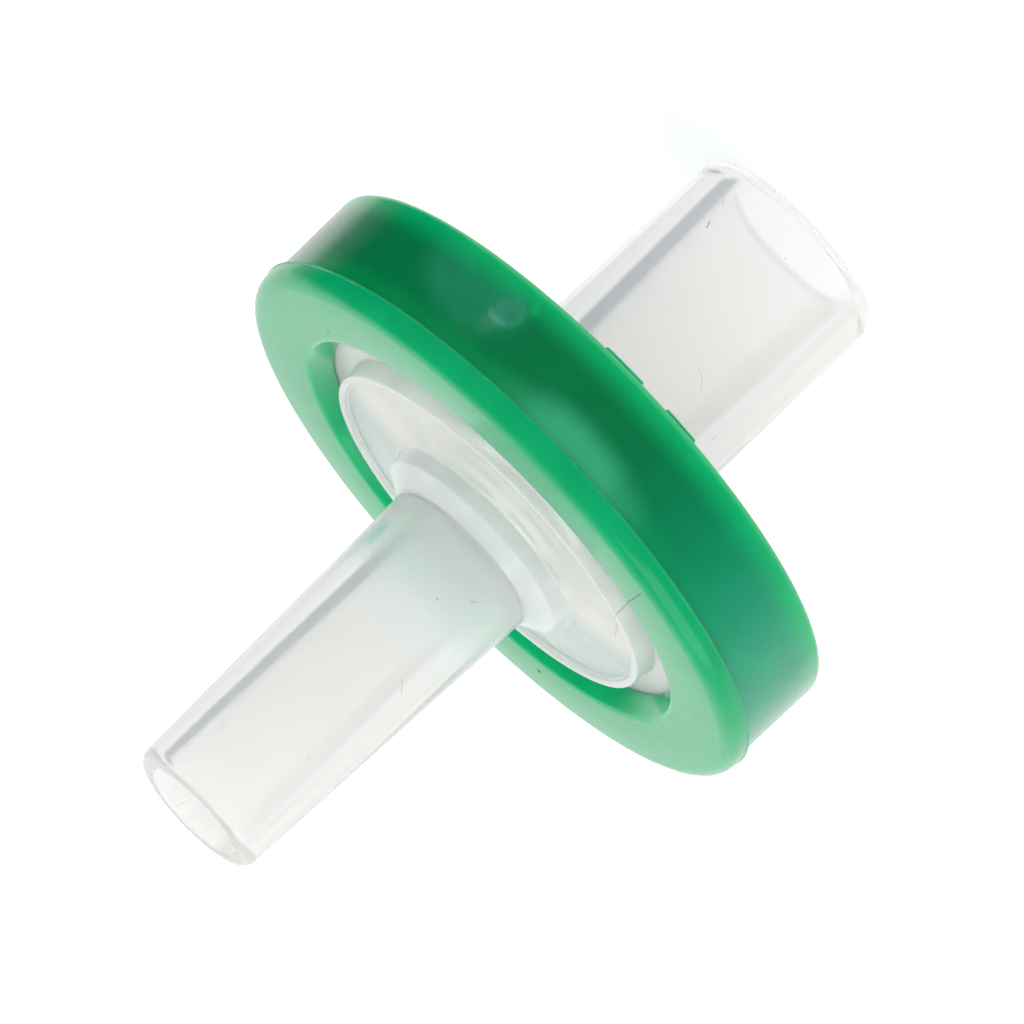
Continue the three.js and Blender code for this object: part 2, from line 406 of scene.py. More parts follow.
# %% [markdown]
# Each spreader is a small block. A face could be extruded into one, but a cube scaled to the
# rib's size needs no picking, and a narrow bevel eases all its edges at once.

# %% The spreader ribs
SPREADERS = 12
SPREADER_WIDTH, SPREADER_GAP = 0.40, 0.10
SPREADER_INNER, SPREADER_OUTER = 1.45, 4.95
SPREADER_EASE = 0.04


def spreader():
    """One straight rib along X, with all its edges eased."""
    low = INLET_SEAL - CHAMBER_CENTRE - RIB_ROOT
    high = INLET_SEAL - SPREADER_GAP
    middle = (SPREADER_INNER + SPREADER_OUTER) / 2
    bpy.ops.mesh.primitive_cube_add(size=MM, location=(middle * MM, 0, (low + high) / 2 * MM))
    rib = bpy.context.object
    rib.scale = (SPREADER_OUTER - SPREADER_INNER, SPREADER_WIDTH, high - low)
    start_piece("spreader")
    bpy.ops.object.mode_set(mode="EDIT")
    bpy.ops.mesh.select_all(action="SELECT")
    bpy.ops.mesh.bevel(offset=SPREADER_EASE * MM, segments=2)
    bpy.ops.object.mode_set(mode="OBJECT")
    return rib


combine(inlet, copies_round(spreader(), SPREADERS), "UNION")
finish_piece(inlet, "inlet_housing")

# %% [markdown]
# ## The green ring
# The ring is a C-shaped section that grips both flanges. Its cap in front of the parting
# line is a little wider than the wall behind, and a thin flash stands where the two halves
# of the mould met. Extra corners are drawn on the back face, where two low pads rise later.

# %% The ring's section
CLEARANCE = 0.02
CONTACT = 0.01             # a hair of air between the ring and what it is moulded over
WALL_FRONT, WALL_BACK = 8.70, 8.74
CAP_RADIUS, CAP_ROUND = 8.80, 0.45
PARTING, FLASH = 0.67, 0.06
WINDOW_RADIUS, WINDOW_FOOT = 6.60, 6.19
PAD_INNER, PAD_OUTER = 7.45, 8.50
parting = RING_FRONT - PARTING
bore = FLANGE_RADIUS + CLEARANCE
ring_section = [
    (WINDOW_FOOT, RING_FRONT - LIP + CONTACT, 0.03),
    (WINDOW_RADIUS, RING_FRONT, 0.20),
    (CAP_RADIUS, RING_FRONT, CAP_ROUND),
    (CAP_RADIUS, parting + FLASH, 0),
    (FLASH_RADIUS, parting + FLASH / 2, 0.01),
    (FLASH_RADIUS, parting, 0.01),
    (WALL_FRONT, parting - FLASH, 0.02),
    (WALL_BACK, RING_BACK, 0.22),
    (PAD_OUTER, RING_BACK, 0),
    (PAD_INNER, RING_BACK, 0),
    (WINDOW_RADIUS, RING_BACK, 0.12),
    (WINDOW_FOOT, RING_BACK + LIP - CONTACT, 0.03),
    (bore, RING_BACK + LIP - CONTACT, 0),
    (bore, RING_FRONT - LIP + CONTACT, 0),
]
ring = turned("green_ring", ring_section)

# %% [markdown]
# Where the two halves of the mould meet, a little plastic creeps between them and leaves a
# thin fin that is never quite even. Its rows of vertices are found by their radius, and
# Randomize moves them a few microns, with a seed, so the fin is the same in every run.

# %% The uneven fin at the parting line
FIN_SEED = 7
FIN_INSIDE = CAP_RADIUS + 0.012    # the fin's vertices lie outside this radius
edit(ring)
fin = pick(ring, "VERT", lambda vertex: vertex.co.xy.length > FIN_INSIDE * MM)
bpy.ops.transform.vertex_random(offset=FIN_SPREAD * MM, uniform=1, seed=FIN_SEED)
bpy.ops.mesh.vertices_smooth(factor=0.5, repeat=1)
bpy.ops.object.mode_set(mode="OBJECT")
print("moved", fin, "vertices of the fin")

# %% [markdown]
# Two low pads stand on the back face. They could be two small blocks joined on, but their
# sides follow the ring, so faces of the ring itself are picked by their place and extruded.

# %% The two pads on the back face
PADS = [(0.0, 1.30), (-1.95, -0.905)]      # where each starts and ends, along X
PAD_EDGE = 0.06
ON_BACK = 0.001            # a face whose middle is this near the back lies on it


def on_pad(face):
    """True for a face of the back that lies under one of the pads."""
    x, y, z = face.center / MM
    radius = math.hypot(x, y)
    in_band = z < RING_BACK + ON_BACK and PAD_INNER < radius < PAD_OUTER
    return in_band and y < 0 and any(a < x < b for a, b in PADS)


edit(ring)
print(pick(ring, "FACE", on_pad), "faces carry the pads")
bpy.ops.mesh.extrude_region_move(TRANSFORM_OT_translate={"value": (0, 0, -PAD_HEIGHT * MM)})
bpy.ops.mesh.region_to_loop()
bpy.ops.mesh.bevel(offset=PAD_EDGE * MM, segments=3)
bpy.ops.object.mode_set(mode="OBJECT")

# %% [markdown]
# The ring is filled through one gate in its wall, and breaking off the runner leaves a shallow
# dimple there. A short cylinder would cut a flat floor with a sharp rim, so it is cut with a
# ball that only dips into the wall.

# %% The gate mark
GATE_RADIUS, GATE_DEPTH = 0.40, 0.09
GATE_FROM_BACK = 1.06
GATE_ANGLE = math.radians(-63.9)
ball = (GATE_RADIUS ** 2 + GATE_DEPTH ** 2) / (2 * GATE_DEPTH)
gate_height = RING_BACK + GATE_FROM_BACK
gate_out = Vector((math.cos(GATE_ANGLE), math.sin(GATE_ANGLE), 0))
ball_place = gate_out * (WALL_FRONT - GATE_DEPTH + ball) + Vector((0, 0, gate_height))
bpy.ops.mesh.primitive_uv_sphere_add(segments=96, ring_count=64, radius=ball * MM,
                                     location=ball_place * MM)
combine(ring, start_piece("gate_ball"), "DIFFERENCE")
finish_piece(ring, "overmould_ring")

# %% [markdown]
# ## Finishes
# A shader is a graph of nodes. Adding each node takes four lines, so short helpers keep the
# graphs short: one adds a node, one does arithmetic, one mixes two colours and one fades.

# %% Helpers for shader graphs
def node(tree, kind, *values, **settings):
    """Adds a node; each value is linked or set into the inputs in order, None skips one."""
    new = tree.nodes.new("ShaderNode" + kind)
    for name, value in settings.items():
        setattr(new, name, value)
    for socket, value in zip(new.inputs, values):
        if isinstance(value, bpy.types.NodeSocket):
            tree.links.new(value, socket)
        elif value is not None:
            socket.default_value = value
    return new


def maths(tree, operation, *values):
    """The result of one arithmetic step."""
    return node(tree, "Math", *values, operation=operation).outputs[0]


def blend(tree, amount, first, second):
    """A colour between two others."""
    mix = node(tree, "Mix", amount, data_type="RGBA")
    for socket, colour in ((mix.inputs[6], first), (mix.inputs[7], second)):
        if isinstance(colour, bpy.types.NodeSocket):
            tree.links.new(colour, socket)
        else:
            socket.default_value = (*colour, 1)
    return mix.outputs[2]


def fade(tree, value, start, end):
    """Rises smoothly from 0 to 1 as a value goes from start to end."""
    steps = node(tree, "MapRange", value, start, end, interpolation_type="SMOOTHSTEP")
    return steps.outputs["Result"]


# %% [markdown]
# What several materials share goes into a node group: it is built once, and each material
# gives it values of its own. It puts out masks and numbers only, and each material keeps its
# own shader.

# %% Helpers for node groups
def new_group(name, inputs, outputs):
    """An empty node group: its tree, its inputs' node and its outputs' node."""
    tree = bpy.data.node_groups.new(name, "ShaderNodeTree")
    for direction, sockets in (("INPUT", inputs), ("OUTPUT", outputs)):
        for socket, kind in sockets:
            tree.interface.new_socket(socket, in_out=direction, socket_type="NodeSocket" + kind)
    return tree, tree.nodes.new("NodeGroupInput").outputs, tree.nodes.new("NodeGroupOutput").inputs


def placed_group(tree, group, *values):
    """Puts a node group in a graph and gives its outputs."""
    use = tree.nodes.new("ShaderNodeGroup")
    use.node_tree = group
    for socket, value in zip(use.inputs, values):
        if isinstance(value, bpy.types.NodeSocket):
            tree.links.new(value, socket)
        else:
            socket.default_value = value
    return use.outputs


# %% [markdown]
# Every surface here goes round one axis, so most marks are easiest to place by an angle
# and a height. This group turns a position into millimetres and into those: the angle is 0
# at the front, where Y is least, and grows towards +X. Its Flat output leaves the height
# out, for marks on level faces.

# %% A group for places round the axis
round_axis, given, found = new_group(
    "place_round_axis",
    [("Position", "Vector")],
    [("Place", "Vector"), ("Flat", "Vector"), ("Angle", "Float"), ("Radius", "Float"),
     ("Height", "Float")])
in_mm = node(round_axis, "VectorMath", given["Position"], operation="SCALE")
in_mm.inputs["Scale"].default_value = 1 / MM
split = node(round_axis, "SeparateXYZ", in_mm.outputs[0]).outputs
to_front = maths(round_axis, "MULTIPLY", split["Y"], -1.0)
turn = maths(round_axis, "ARCTAN2", split["X"], to_front)
flat = node(round_axis, "CombineXYZ", split["X"], split["Y"])
across = node(round_axis, "VectorMath", flat.outputs[0], operation="LENGTH")
round_axis.links.new(in_mm.outputs[0], found["Place"])
round_axis.links.new(flat.outputs[0], found["Flat"])
round_axis.links.new(maths(round_axis, "DEGREES", turn), found["Angle"])
round_axis.links.new(across.outputs["Value"], found["Radius"])
round_axis.links.new(split["Z"], found["Height"])
print(round_axis.name, "has", len(round_axis.nodes), "nodes")

# %% [markdown]
# Specks of dirt, hairs and scratches are all the same thing to a shader: a mask near a short
# line. The group measures how far a point lies from the line between two ends. With both
# ends in one place it draws a speck.

# %% A group for specks and hairs
mark_group, given, found = new_group(
    "speck_or_hair",
    [("Place", "Vector"), ("From", "Vector"), ("To", "Vector"), ("Width", "Float"),
     ("Strength", "Float")],
    [("Mask", "Float")])
NO_LENGTH = 1e-6
along = node(mark_group, "VectorMath", given["To"], given["From"], operation="SUBTRACT").outputs[0]
away = node(mark_group, "VectorMath", given["Place"], given["From"], operation="SUBTRACT").outputs[0]
reach = node(mark_group, "VectorMath", away, along, operation="DOT_PRODUCT").outputs["Value"]
length = node(mark_group, "VectorMath", along, along, operation="DOT_PRODUCT").outputs["Value"]
share = node(mark_group, "Math", reach, maths(mark_group, "MAXIMUM", length, NO_LENGTH),
             operation="DIVIDE", use_clamp=True).outputs[0]
nearest = node(mark_group, "VectorMath", along, operation="SCALE")
mark_group.links.new(share, nearest.inputs["Scale"])
gap = node(mark_group, "VectorMath", away, nearest.outputs[0], operation="DISTANCE").outputs["Value"]
edge = maths(mark_group, "DIVIDE", gap, given["Width"])
mask = fade(mark_group, edge, 1.0, 0.3)
mark_group.links.new(maths(mark_group, "MULTIPLY", mask, given["Strength"]), found["Mask"])
print(mark_group.name, "has", len(mark_group.nodes), "nodes")


def marks_on(tree, place, marks):
    """One mask for a list of marks, each as (from, to, width, strength) in millimetres."""
    total = 0.0
    for start, end, width, strength in marks:
        mask = placed_group(tree, mark_group, place, start, end, width, strength)["Mask"]
        total = maths(tree, "MAXIMUM", mask, total)
    return total


# %% [markdown]
# Haze, blushes and smears are soft patches with no clear edge. This group draws an ellipse
# in angle and height, and warps it with noise so that it never looks drawn.

# %% A group for hazy patches
patch_group, given, found = new_group(
    "hazy_patch",
    [("Place", "Vector"), ("Angle", "Float"), ("Height", "Float"), ("Middle Angle", "Float"),
     ("Middle Height", "Float"), ("Half Angle", "Float"), ("Half Height", "Float"),
     ("Softness", "Float")],
    [("Mask", "Float")])
WARP_SCALE, WARP = 0.45, 0.6
cloud = node(patch_group, "TexNoise", given["Place"], None, WARP_SCALE, 2.0).outputs["Fac"]
warp = maths(patch_group, "MULTIPLY_ADD", cloud, WARP, -WARP / 2)
turned_by = maths(patch_group, "SUBTRACT", given["Angle"], given["Middle Angle"])
raised_by = maths(patch_group, "SUBTRACT", given["Height"], given["Middle Height"])
side_share = maths(patch_group, "DIVIDE", turned_by, given["Half Angle"])
rise_share = maths(patch_group, "DIVIDE", raised_by, given["Half Height"])
both = node(patch_group, "CombineXYZ", side_share, rise_share)
distance = node(patch_group, "VectorMath", both.outputs[0], operation="LENGTH").outputs["Value"]
warped = maths(patch_group, "ADD", distance, warp)
outer = maths(patch_group, "ADD", 1.0, given["Softness"])
inner = maths(patch_group, "SUBTRACT", 1.0, given["Softness"])
patch_group.links.new(fade(patch_group, warped, outer, inner), found["Mask"])
print(patch_group.name, "has", len(patch_group.nodes), "nodes")


def patch_on(tree, at, angle, height, half_angle, half_height, softness):
    """A hazy patch in a graph that knows its places, in degrees and millimetres."""
    return placed_group(tree, patch_group, at["Place"], at["Angle"], at["Height"],
                        angle, height, half_angle, half_height, softness)["Mask"]


def laid(tree, colour, mask, strength, over):
    """A colour with another laid over it where a mask is, at a strength."""
    return blend(tree, maths(tree, "MULTIPLY", mask, strength), colour, over)


# %% [markdown]
# A moulded surface copies its steel: it is smooth, with a faint orange peel a few tenths of a
# millimetre across and a finer grain under it. The group gives a height for a Bump node, a
# value that lightens and darkens the colour a little, and a varied roughness.

# %% A group for a moulded surface
moulded, given, found = new_group(
    "moulded_surface",
    [("Place", "Vector"), ("Peel Scale", "Float"), ("Grain Scale", "Float"),
     ("Roughness", "Float"), ("Spread", "Float")],
    [("Height", "Float"), ("Roughness", "Float"), ("Tone", "Float")])
GRAIN_SHARE = 0.3
SMOOTHEST = 0.02
peel = node(moulded, "TexNoise", given["Place"], None, given["Peel Scale"], 2.0).outputs["Fac"]
grain = node(moulded, "TexNoise", given["Place"], None, given["Grain Scale"], 3.0).outputs["Fac"]
height = maths(moulded, "MULTIPLY_ADD", grain, GRAIN_SHARE, peel)
varied = maths(moulded, "MULTIPLY_ADD", maths(moulded, "SUBTRACT", grain, 0.5), given["Spread"],
               given["Roughness"])
moulded.links.new(height, found["Height"])
moulded.links.new(maths(moulded, "MAXIMUM", varied, SMOOTHEST), found["Roughness"])
moulded.links.new(peel, found["Tone"])
print("groups:", [group.name for group in bpy.data.node_groups])

# %% [markdown]
# Dirt is a dark grey. Each mark is placed one by one on its surface, so two small functions
# turn an angle and a height, or a place on a flat face, into a point in millimetres, and a
# third makes a speck of such a point.

# %% Places for marks
DIRT = (0.030, 0.045, 0.035)


def on_wall(angle, height, radius):
    """A point on a turned wall, from its angle off the front and its height."""
    turn = math.radians(angle)
    return radius * math.sin(turn), -radius * math.cos(turn), height


def on_level(x, y):
    """A point on a level face, for the flat place."""
    return x, y, 0


def speck(point, width, strength):
    """A mark with both ends in one place."""
    return point, point, width, strength


# %% [markdown]
# ### Natural polypropylene
# Natural polypropylene is milky: some light goes straight through, bent by the surface, and
# some is scattered inside. A volume would do both but it renders slowly, so the outside of
# the surface mixes Transmission with Subsurface. Light that is already inside has to get out
# again, so the back of each face is plain glass of the same colour: Backfacing chooses.

# %% A helper for milky plastic
CLEAR_IOR = 1.49
MILK_DEPTH = 1.0          # how far light wanders inside, in millimetres


def milky_plastic(name, passed, colour, roughness, normal):
    """Finishes a material that lets the given share of light straight through."""
    material = bpy.data.materials[name]
    tree = material.node_tree
    outside = tree.nodes["Principled BSDF"]
    inside = tree.nodes.new("ShaderNodeBsdfPrincipled")
    for shader, share in ((outside, passed), (inside, 1.0)):
        shader.inputs["IOR"].default_value = CLEAR_IOR
        shader.inputs["Transmission Weight"].default_value = share
        tree.links.new(colour, shader.inputs["Base Color"])
        tree.links.new(roughness, shader.inputs["Roughness"])
        tree.links.new(normal, shader.inputs["Normal"])
    outside.inputs["Subsurface Weight"].default_value = 1.0
    outside.inputs["Subsurface Radius"].default_value = (1.0, 1.0, 1.0)
    outside.inputs["Subsurface Scale"].default_value = MILK_DEPTH * MM
    back = node(tree, "NewGeometry").outputs["Backfacing"]
    choose = node(tree, "MixShader", back, outside.outputs[0], inside.outputs[0])
    tree.links.new(choose.outputs[0], tree.nodes["Material Output"].inputs["Surface"])


def start_material(name):
    """A new material, its tree and the places that its surface's points have."""
    material = bpy.data.materials.new(name)
    material.use_nodes = True
    tree = material.node_tree
    position = node(tree, "TexCoord").outputs["Object"]
    return material, tree, placed_group(tree, round_axis, position)


def bumped(tree, height, strength, distance):
    """A normal from a height, with the depth of the bumps in millimetres."""
    bump = node(tree, "Bump", strength, distance * MM)
    tree.links.new(height, bump.inputs["Height"])
    return bump.outputs["Normal"]


# %% [markdown]
# The tubes carry a few specks, hairs and scratches from handling. Each is a line from one
# point to another with a width and a strength, and all sizes are in millimetres.

# %% Marks on the tubes
INLET_WALL = 3.03
tube_marks = [
    (on_wall(-26.5, 13.37, 2.24), on_wall(-29.0, 13.25, 2.24), 0.036, 0.8),
    speck(on_wall(-8.9, 14.02, 2.22), 0.050, 0.5),
    (on_wall(-33.9, 16.07, 2.18), on_wall(-42.5, 16.28, 2.18), 0.020, 0.4),
    speck(on_wall(-29.2, 19.28, 2.08), 0.032, 0.4),
    (on_wall(-13.4, 4.93, INLET_WALL), on_wall(-19.0, 5.04, INLET_WALL), 0.018, 0.8),
    (on_wall(-19.0, 5.04, INLET_WALL), on_wall(-21.7, 5.22, INLET_WALL), 0.018, 0.7),
    (on_wall(36.9, 1.99, INLET_WALL), on_wall(38.2, 1.83, INLET_WALL), 0.040, 0.5),
    (on_wall(39.9, 1.25, INLET_WALL), on_wall(42.0, 1.16, INLET_WALL), 0.026, 0.5),
    (on_wall(-48.2, 5.72, INLET_WALL), on_wall(-48.4, 5.56, INLET_WALL), 0.030, 0.4),
    speck(on_wall(-73.8, 3.41, INLET_WALL), 0.045, 0.7),
    speck(on_wall(-73.8, 1.40, INLET_WALL), 0.045, 0.7),
    speck(on_wall(-3.4, 1.20, INLET_WALL), 0.034, 0.6),
    (on_wall(12.4, 0.80, INLET_WALL), on_wall(12.4, 0.36, INLET_WALL), 0.022, 0.4),
    (on_wall(-16.0, 0.26, 3.00), on_wall(-27.0, 0.24, 2.99), 0.030, 0.35),
    (on_wall(-27.0, 0.24, 2.99), on_wall(-36.0, 0.23, 2.99), 0.030, 0.35),
    (on_wall(163.8, 21.95, 1.49), on_wall(169.8, 21.40, 1.49), 0.022, 0.45),
]
print("marks on the tubes:", len(tube_marks))

# %% [markdown]
# The tubes are almost colourless, with a painted shade down one side. Near its root the outlet
# tube is hazier, because the plastic slows there as it fills the mould, and its colour there
# is painted cool, standing in for the green ring's light behind it.

# %% Values for the tubes
TUBE_PASSED = 0.50
TUBE_ROUGHNESS, ROOT_ROUGHNESS = 0.055, 0.24
TUBE_PEEL, TUBE_GRAIN, TUBE_SPREAD = 2.2, 11.0, 0.05
TUBE_BUMP, TUBE_BUMP_DEPTH = 0.35, 0.01
OUTLET_TINT, INLET_TINT = (0.975, 0.965, 0.940), (1.0, 0.975, 0.965)
# COOL is painted light: the green ring's light seen through the outlet's root
COOL, COOL_PATCH = (0.92, 1.0, 1.0), (0.50, 0.86, 0.92)
# the second colour here is a painted shade down one side of both tubes
SMEAR, PAINTED_SHADE_SIDE = (0.78, 0.82, 0.86), (0.84, 0.83, 0.80)
SHADE_FROM, SHADE_TO = (-42.0, -54.0), (-140.0, -126.0)   # angles where the painted shade starts and ends
HAZE_LENGTH, HAZE_FADE = 3.6, 0.9        # the hazy root of the outlet, in front of the ring
MOUTH_BAND, MOUTH_SHADE = 0.26, (0.60, 0.69, 0.73)       # painted shade on the far rim inside the socket's mouth
MOUTH_FADE = 0.05
print("share of light straight through the tubes:", TUBE_PASSED)

# %% [markdown]
# The colour is built in layers, from the widest to the smallest: each tube's tint, the painted
# shade down one side, the painted cool light at the root, two small patches, the painted shade
# inside the mouth, and the dirt on top. An image could be painted instead, but layers need no
# unwrapping and stay sharp close up.

# %% The layers of the tubes' colour
tube_finish, tree, at = start_material("natural_polypropylene")
skin = placed_group(tree, moulded, at["Place"], TUBE_PEEL, TUBE_GRAIN, TUBE_ROUGHNESS,
                    TUBE_SPREAD)
root_end = RING_FRONT + HAZE_LENGTH
near_root = fade(tree, at["Height"], root_end, root_end - HAZE_FADE)
above_ring = fade(tree, at["Height"], RING_FRONT - 0.2, RING_FRONT)
hazy = maths(tree, "MULTIPLY", near_root, above_ring)
roughness = maths(tree, "MULTIPLY_ADD", hazy, ROOT_ROUGHNESS - TUBE_ROUGHNESS, skin["Roughness"])
is_outlet = fade(tree, at["Height"], RING_BACK, RING_FRONT)
colour = blend(tree, is_outlet, INLET_TINT, OUTLET_TINT)
# Painted shade: one side of both tubes is darker.
shaded_side = maths(tree, "MULTIPLY", fade(tree, at["Angle"], *SHADE_FROM),
                  fade(tree, at["Angle"], *SHADE_TO))
colour = blend(tree, shaded_side, colour, PAINTED_SHADE_SIDE)
# Painted light: the outlet's root is tinted cool, for the green ring's light through it.
colour = blend(tree, hazy, colour, COOL)
cool_patch = patch_on(tree, at, 60.0, 13.68, 5.0, 0.42, 0.4)
colour = laid(tree, colour, cool_patch, 0.7, COOL_PATCH)
smear = patch_on(tree, at, 33.0, 20.37, 2.8, 0.19, 0.5)
colour = laid(tree, colour, smear, 0.5, SMEAR)
# Painted shade on the far rim inside the socket's mouth.
mouth_shade_mask = maths(tree, "MULTIPLY", fade(tree, at["Radius"], 2.75, 2.65),
                 fade(tree, at["Height"], MOUTH_BAND + MOUTH_FADE, MOUTH_BAND - MOUTH_FADE))
at_back = fade(tree, maths(tree, "ABSOLUTE", at["Angle"]), 95.0, 120.0)
colour = laid(tree, colour, mouth_shade_mask, at_back, MOUTH_SHADE)
dirt = marks_on(tree, at["Place"], tube_marks)
colour = blend(tree, dirt, colour, DIRT)
milky_plastic("natural_polypropylene", TUBE_PASSED, colour, roughness,
              bumped(tree, skin["Height"], TUBE_BUMP, TUBE_BUMP_DEPTH))
print(tube_finish.name, "has", len(tree.nodes), "nodes")

# %% [markdown]
# The discs in the windows are milkier than the tubes, because the white membrane lies behind
# them. The channels between the ribs inside are painted on as the faintest lighter spokes, as
# painted light.

# %% Values for the discs
DISC_PASSED = 0.35
DISC_ROUGHNESS = 0.22
DISC_PEEL, DISC_GRAIN, DISC_SPREAD = 1.6, 9.0, 0.10
DISC_BUMP, DISC_BUMP_DEPTH = 0.4, 0.012
# The far half's colour is painted shade with a green cast, the rim's a painted highlight, and the
# spokes' and the collar's are painted light.
FAR_HALF_SHADE, NEAR_COLOUR = (0.57, 0.70, 0.64), (0.80, 0.82, 0.76)
STRIPE_COLOUR, RIM_HIGHLIGHT = (0.93, 0.91, 0.85), (1.0, 1.0, 0.965)
SPOKE_LIGHT, COLLAR_RING_LIGHT = (0.97, 1.0, 0.97), (0.88, 1.0, 0.965)
HALVES_SLOPE = 0.13       # the slope of the line between the shaded far half and the near half, across the disc
HALVES_FADE = (0.5, -1.1)
SPOKE_WIDTH = 0.17
SPOKE_SHARE, COLLAR_SHARE = 0.15, 0.6
disc_marks = [
    speck(on_level(-3.25, -0.47), 0.035, 0.7),
    speck(on_level(-5.56, 0.60), 0.045, 0.8),
    (on_level(-4.22, -2.05), on_level(-3.95, -3.20), 0.022, 0.45),
    (on_level(-3.95, -3.20), on_level(-3.78, -4.05), 0.022, 0.45),
]
print("marks on the discs:", len(disc_marks))

# %% [markdown]
# The discs' colour is layered in the same way: a far half in painted shade with a green cast, a
# paler near half and a pale stripe between them, then the spokes of painted light, the rim's
# painted highlight, the collar's painted green light from the ring and the dirt.

# %% The layers of the discs' colour
disc_finish, tree, at = start_material("natural_polypropylene_over_film")
skin = placed_group(tree, moulded, at["Place"], DISC_PEEL, DISC_GRAIN, DISC_ROUGHNESS,
                    DISC_SPREAD)
# Painted light: faint lighter spokes where the channels between the ribs lie.
sector = maths(tree, "DIVIDE", at["Angle"], 360 / SECTORS)
off_spoke = maths(tree, "PINGPONG", sector, 0.5)
off_spoke = maths(tree, "MULTIPLY", off_spoke, math.tau / SECTORS)
spoke_gap = maths(tree, "MULTIPLY", off_spoke, at["Radius"])
spoke = fade(tree, spoke_gap, SPOKE_WIDTH + 0.15, SPOKE_WIDTH - 0.10)
in_chamber = fade(tree, at["Radius"], CHAMBER_RADIUS, CHAMBER_RADIUS - 0.4)
shows = maths(tree, "MULTIPLY", spoke, in_chamber)
# Painted shade with a green cast on the far half of the disc, and a paler near half.
split = node(tree, "SeparateXYZ", at["Flat"]).outputs
past_line = maths(tree, "MULTIPLY_ADD", split["X"], -HALVES_SLOPE, split["Y"])
colour = blend(tree, fade(tree, past_line, *HALVES_FADE), FAR_HALF_SHADE, NEAR_COLOUR)
stripe = [(on_level(5.10, -0.85), on_level(-5.10, -2.15), 0.90, 0.7)]
colour = blend(tree, marks_on(tree, at["Flat"], stripe), colour, STRIPE_COLOUR)
colour = laid(tree, colour, shows, SPOKE_SHARE, SPOKE_LIGHT)
# Painted highlight: the rim is nearly white.
rim_highlight_mask = fade(tree, at["Radius"], PLATEAU_RADIUS - RIM_WIDTH - 0.12, PLATEAU_RADIUS - RIM_WIDTH)
colour = blend(tree, rim_highlight_mask, colour, RIM_HIGHLIGHT)
# Painted light: the collar takes a cyan tint for the green ring's light through it.
collar_radius = outlet_root + COLLAR_STEP
ring_light_on_collar = fade(tree, at["Radius"], collar_radius + 0.20, collar_radius)
colour = laid(tree, colour, ring_light_on_collar, COLLAR_SHARE, COLLAR_RING_LIGHT)
dirt = marks_on(tree, at["Flat"], disc_marks)
colour = blend(tree, dirt, colour, DIRT)
milky_plastic("natural_polypropylene_over_film", DISC_PASSED, colour, skin["Roughness"],
              bumped(tree, skin["Height"], DISC_BUMP, DISC_BUMP_DEPTH))
print(disc_finish.name, "has", len(tree.nodes), "nodes")

# %% [markdown]
# Both housings get both materials. Faces near the seal belong to the disc, and everything
# beyond the shoulder belongs to the tube.

# %% Both finishes on both housings
TUBE_FROM = TUBE_ROOT - 0.05     # a housing is tube from here on, measured from its seal
for piece, seal, outwards in ((outlet, OUTLET_SEAL, 1), (inlet, INLET_SEAL, -1)):
    piece.data.materials.clear()
    piece.data.materials.append(tube_finish)
    piece.data.materials.append(disc_finish)
    for face in piece.data.polygons:
        from_seal = (face.center.z / MM - seal) * outwards
        face.material_index = int(from_seal < TUBE_FROM)
    of_disc = sum(face.material_index for face in piece.data.polygons)
    print(piece.name, "has", of_disc, "faces of disc")

# %% [markdown]
# ### Green polypropylene
# The ring has picked up specks too, on its flat face and on its wall, and one fine hair lies
# across its face from the disc.

# %% Marks on the ring
face_marks = [
    speck(on_level(-3.57, 6.33), 0.095, 1.0),
    speck(on_level(6.61, -2.43), 0.065, 0.6),
    speck(on_level(-7.44, 0.53), 0.036, 0.7),
    speck(on_level(-8.35, -1.69), 0.040, 0.6),
    (on_level(-3.78, -4.05), on_level(-3.78, -5.60), 0.026, 0.5),
    (on_level(-3.78, -5.60), on_level(-3.84, -7.20), 0.026, 0.5),
]
wall_marks = [
    speck(on_wall(-29.5, 10.37, 8.72), 0.050, 0.9),
    speck(on_wall(63.0, 9.80, 8.72), 0.045, 0.7),
    speck(on_wall(66.0, 8.05, 8.74), 0.045, 0.8),
    speck(on_wall(10.0, 9.55, 8.72), 0.022, 0.6),
]
print("marks on the ring:", len(face_marks) + len(wall_marks))

# %% [markdown]
# The ring is the same plastic with a green masterbatch. On the flat face it is even, and its
# slope into the window is painted lighter, as painted light. The wall behind the parting line is
# painted darker in its middle, as painted shade, and lighter towards its edges, on the -X side
# and at the back, as painted light, and clouded, most of all beside the gate.

# %% The greens of the wall
# The window's, front, rear and side greens are painted light, the deep green is painted shade.
GREEN, WINDOW_LIT_GREEN = (0.0, 0.395, 0.150), (0.0, 0.46, 0.172)
SHADED_WALL_GREEN, LIT_FRONT_GREEN, LIT_REAR_AND_STREAK_GREEN = (0.0, 0.195, 0.062), (0.0, 0.285, 0.078), (0.0, 0.46, 0.155)
LIT_SIDE_GREEN, CLOUD_GREEN = (0.0, 0.335, 0.175), (0.040, 0.42, 0.215)
BLUSH_GREEN, GATE_GREEN = (0.012, 0.255, 0.122), (0.034, 0.300, 0.176)
GREEN_IOR, GREEN_ROUGHNESS = 1.51, 0.18
GREEN_PEEL, GREEN_GRAIN, GREEN_SPREAD = 1.1, 8.0, 0.10
WALL_BELOW = parting - FLASH
ring_finish, tree, at = start_material("green_polypropylene")
shader = tree.nodes["Principled BSDF"]
skin = placed_group(tree, moulded, at["Place"], GREEN_PEEL, GREEN_GRAIN, GREEN_ROUGHNESS,
                    GREEN_SPREAD)
on_side = maths(tree, "MULTIPLY", fade(tree, at["Radius"], 8.45, 8.62),
                fade(tree, at["Height"], WALL_BELOW + 0.03, WALL_BELOW - 0.03))
